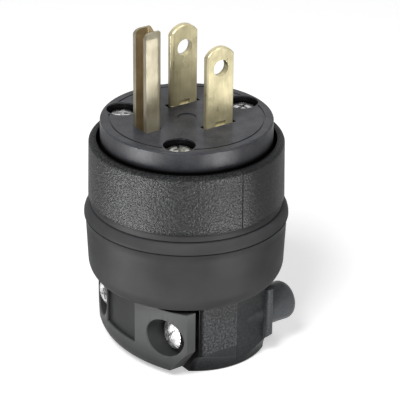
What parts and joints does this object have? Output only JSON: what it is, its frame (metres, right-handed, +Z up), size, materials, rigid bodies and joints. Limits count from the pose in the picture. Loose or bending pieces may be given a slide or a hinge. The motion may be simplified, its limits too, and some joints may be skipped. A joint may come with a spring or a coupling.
{
  "type": "type b plug",
  "caption": "Round grounded plug with flat blades and a folded ground pin, a screwed face plate, a soft sleeve over the housing and a cord clamp at the base.",
  "frame": {"origin": "centre of the flat foot, on the plug's axis", "axes": "+Z up the plug's axis through the blades, +X from the ground pin towards the two flat blades"},
  "size_m": [0.0414, 0.0414, 0.0711],
  "materials": {
    "housing_plastic": "moulded nylon, coarse spark texture on the ring",
    "sleeve_rubber": "smooth satin",
    "strap_plastic": "moulded nylon, fine matte",
    "face_plastic": "moulded, semi-gloss face",
    "carrier_plastic": "plain moulded",
    "blade_brass": "stamped, slightly worn",
    "ground_brass": "stamped and folded, dull",
    "zinc_steel": "bright zinc plated",
    "terminal_brass": "bright",
    "terminal_silver": "bright nickel plated",
    "terminal_green": "green dyed plating"
  },
  "bodies": {
    "root": {"housing": "housing_plastic", "sleeve": "sleeve_rubber", "clamp_strap": "strap_plastic", "clamp_screw_left": "zinc_steel", "clamp_screw_right": "zinc_steel", "clamp_insert_left": "terminal_brass", "clamp_insert_right": "terminal_brass", "face_plate": "face_plastic", "terminal_carrier": "carrier_plastic", "hot_blade": "blade_brass", "neutral_blade": "blade_brass", "ground_pin": "ground_brass", "hot_terminal_screw": "terminal_brass", "neutral_terminal_screw": "terminal_silver", "ground_terminal_screw": "terminal_green", "hot_wire_clamp": "terminal_brass", "neutral_wire_clamp": "terminal_brass", "ground_wire_clamp": "terminal_brass", "face_screw_1": "zinc_steel", "face_insert_1": "terminal_brass", "face_screw_2": "zinc_steel", "face_insert_2": "terminal_brass", "face_screw_3": "zinc_steel", "face_insert_3": "terminal_brass"}
  },
  "joints": []
}
